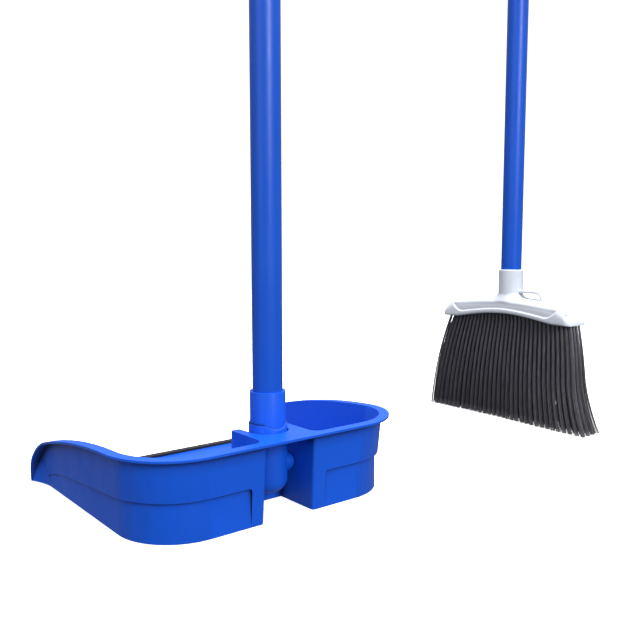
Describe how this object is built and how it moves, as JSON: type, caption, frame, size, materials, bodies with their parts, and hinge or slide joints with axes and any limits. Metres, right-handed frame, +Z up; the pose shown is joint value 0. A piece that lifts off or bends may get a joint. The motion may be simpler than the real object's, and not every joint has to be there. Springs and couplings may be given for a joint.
{
  "type": "dust pan and brush set",
  "caption": "Long-handled dust pan whose handle folds forward over the tray, with a separate upright broom with a flared bristle head.",
  "frame": {"origin": "middle of the pan's flat underside, on the floor, halfway between the rear rim and the front lip", "axes": "+Z up along the handles, +Y out of the pan's mouth, +X to the right seen from behind the pan"},
  "size_m": [0.594, 0.2458, 0.946],
  "materials": {
    "pan_plastic": "semi-gloss royal blue moulding",
    "tube_blue": "blue coated steel tube",
    "cap_plastic": "satin blue moulding",
    "bush_plastic": "semi-gloss blue moulding",
    "lip_rubber": "matt black rubber",
    "steel": "bright zinc",
    "head_plastic": "glossy white moulding",
    "block_plastic": "satin black moulding",
    "bristle": "dark grey synthetic filament"
  },
  "bodies": {
    "pan": {"pan_body": "pan_plastic", "lip_strip": "lip_rubber", "pivot_axle": "steel", "axle_push_nut": "steel"},
    "pan_handle": {"handle_knuckle": "pan_plastic", "pivot_bush_left": "bush_plastic", "pivot_bush_right": "bush_plastic", "tube_rivet": "steel", "pan_tube": "tube_blue", "pan_hang_cap": "cap_plastic"},
    "broom": {"broom_head": "head_plastic", "bristle_block": "block_plastic", "block_screws": "steel", "bristle_row_1": "bristle", "bristle_row_2": "bristle", "bristle_row_3": "bristle", "bristle_row_4": "bristle", "threaded_tip": "block_plastic", "broom_tube": "tube_blue", "broom_hang_cap": "cap_plastic"}
  },
  "joints": [
    {"name": "handle_fold", "type": "hinge", "parent": "pan", "child": "pan_handle", "pos_m": [0, -0.081, 0.037], "axis": [-1, 0, 0], "range_deg": [0, 90]},
    {"name": "broom_lift", "type": "slide", "parent": "pan", "child": "broom", "axis": [0, 0, 1], "range_m": [0, 0.3]}
  ]
}
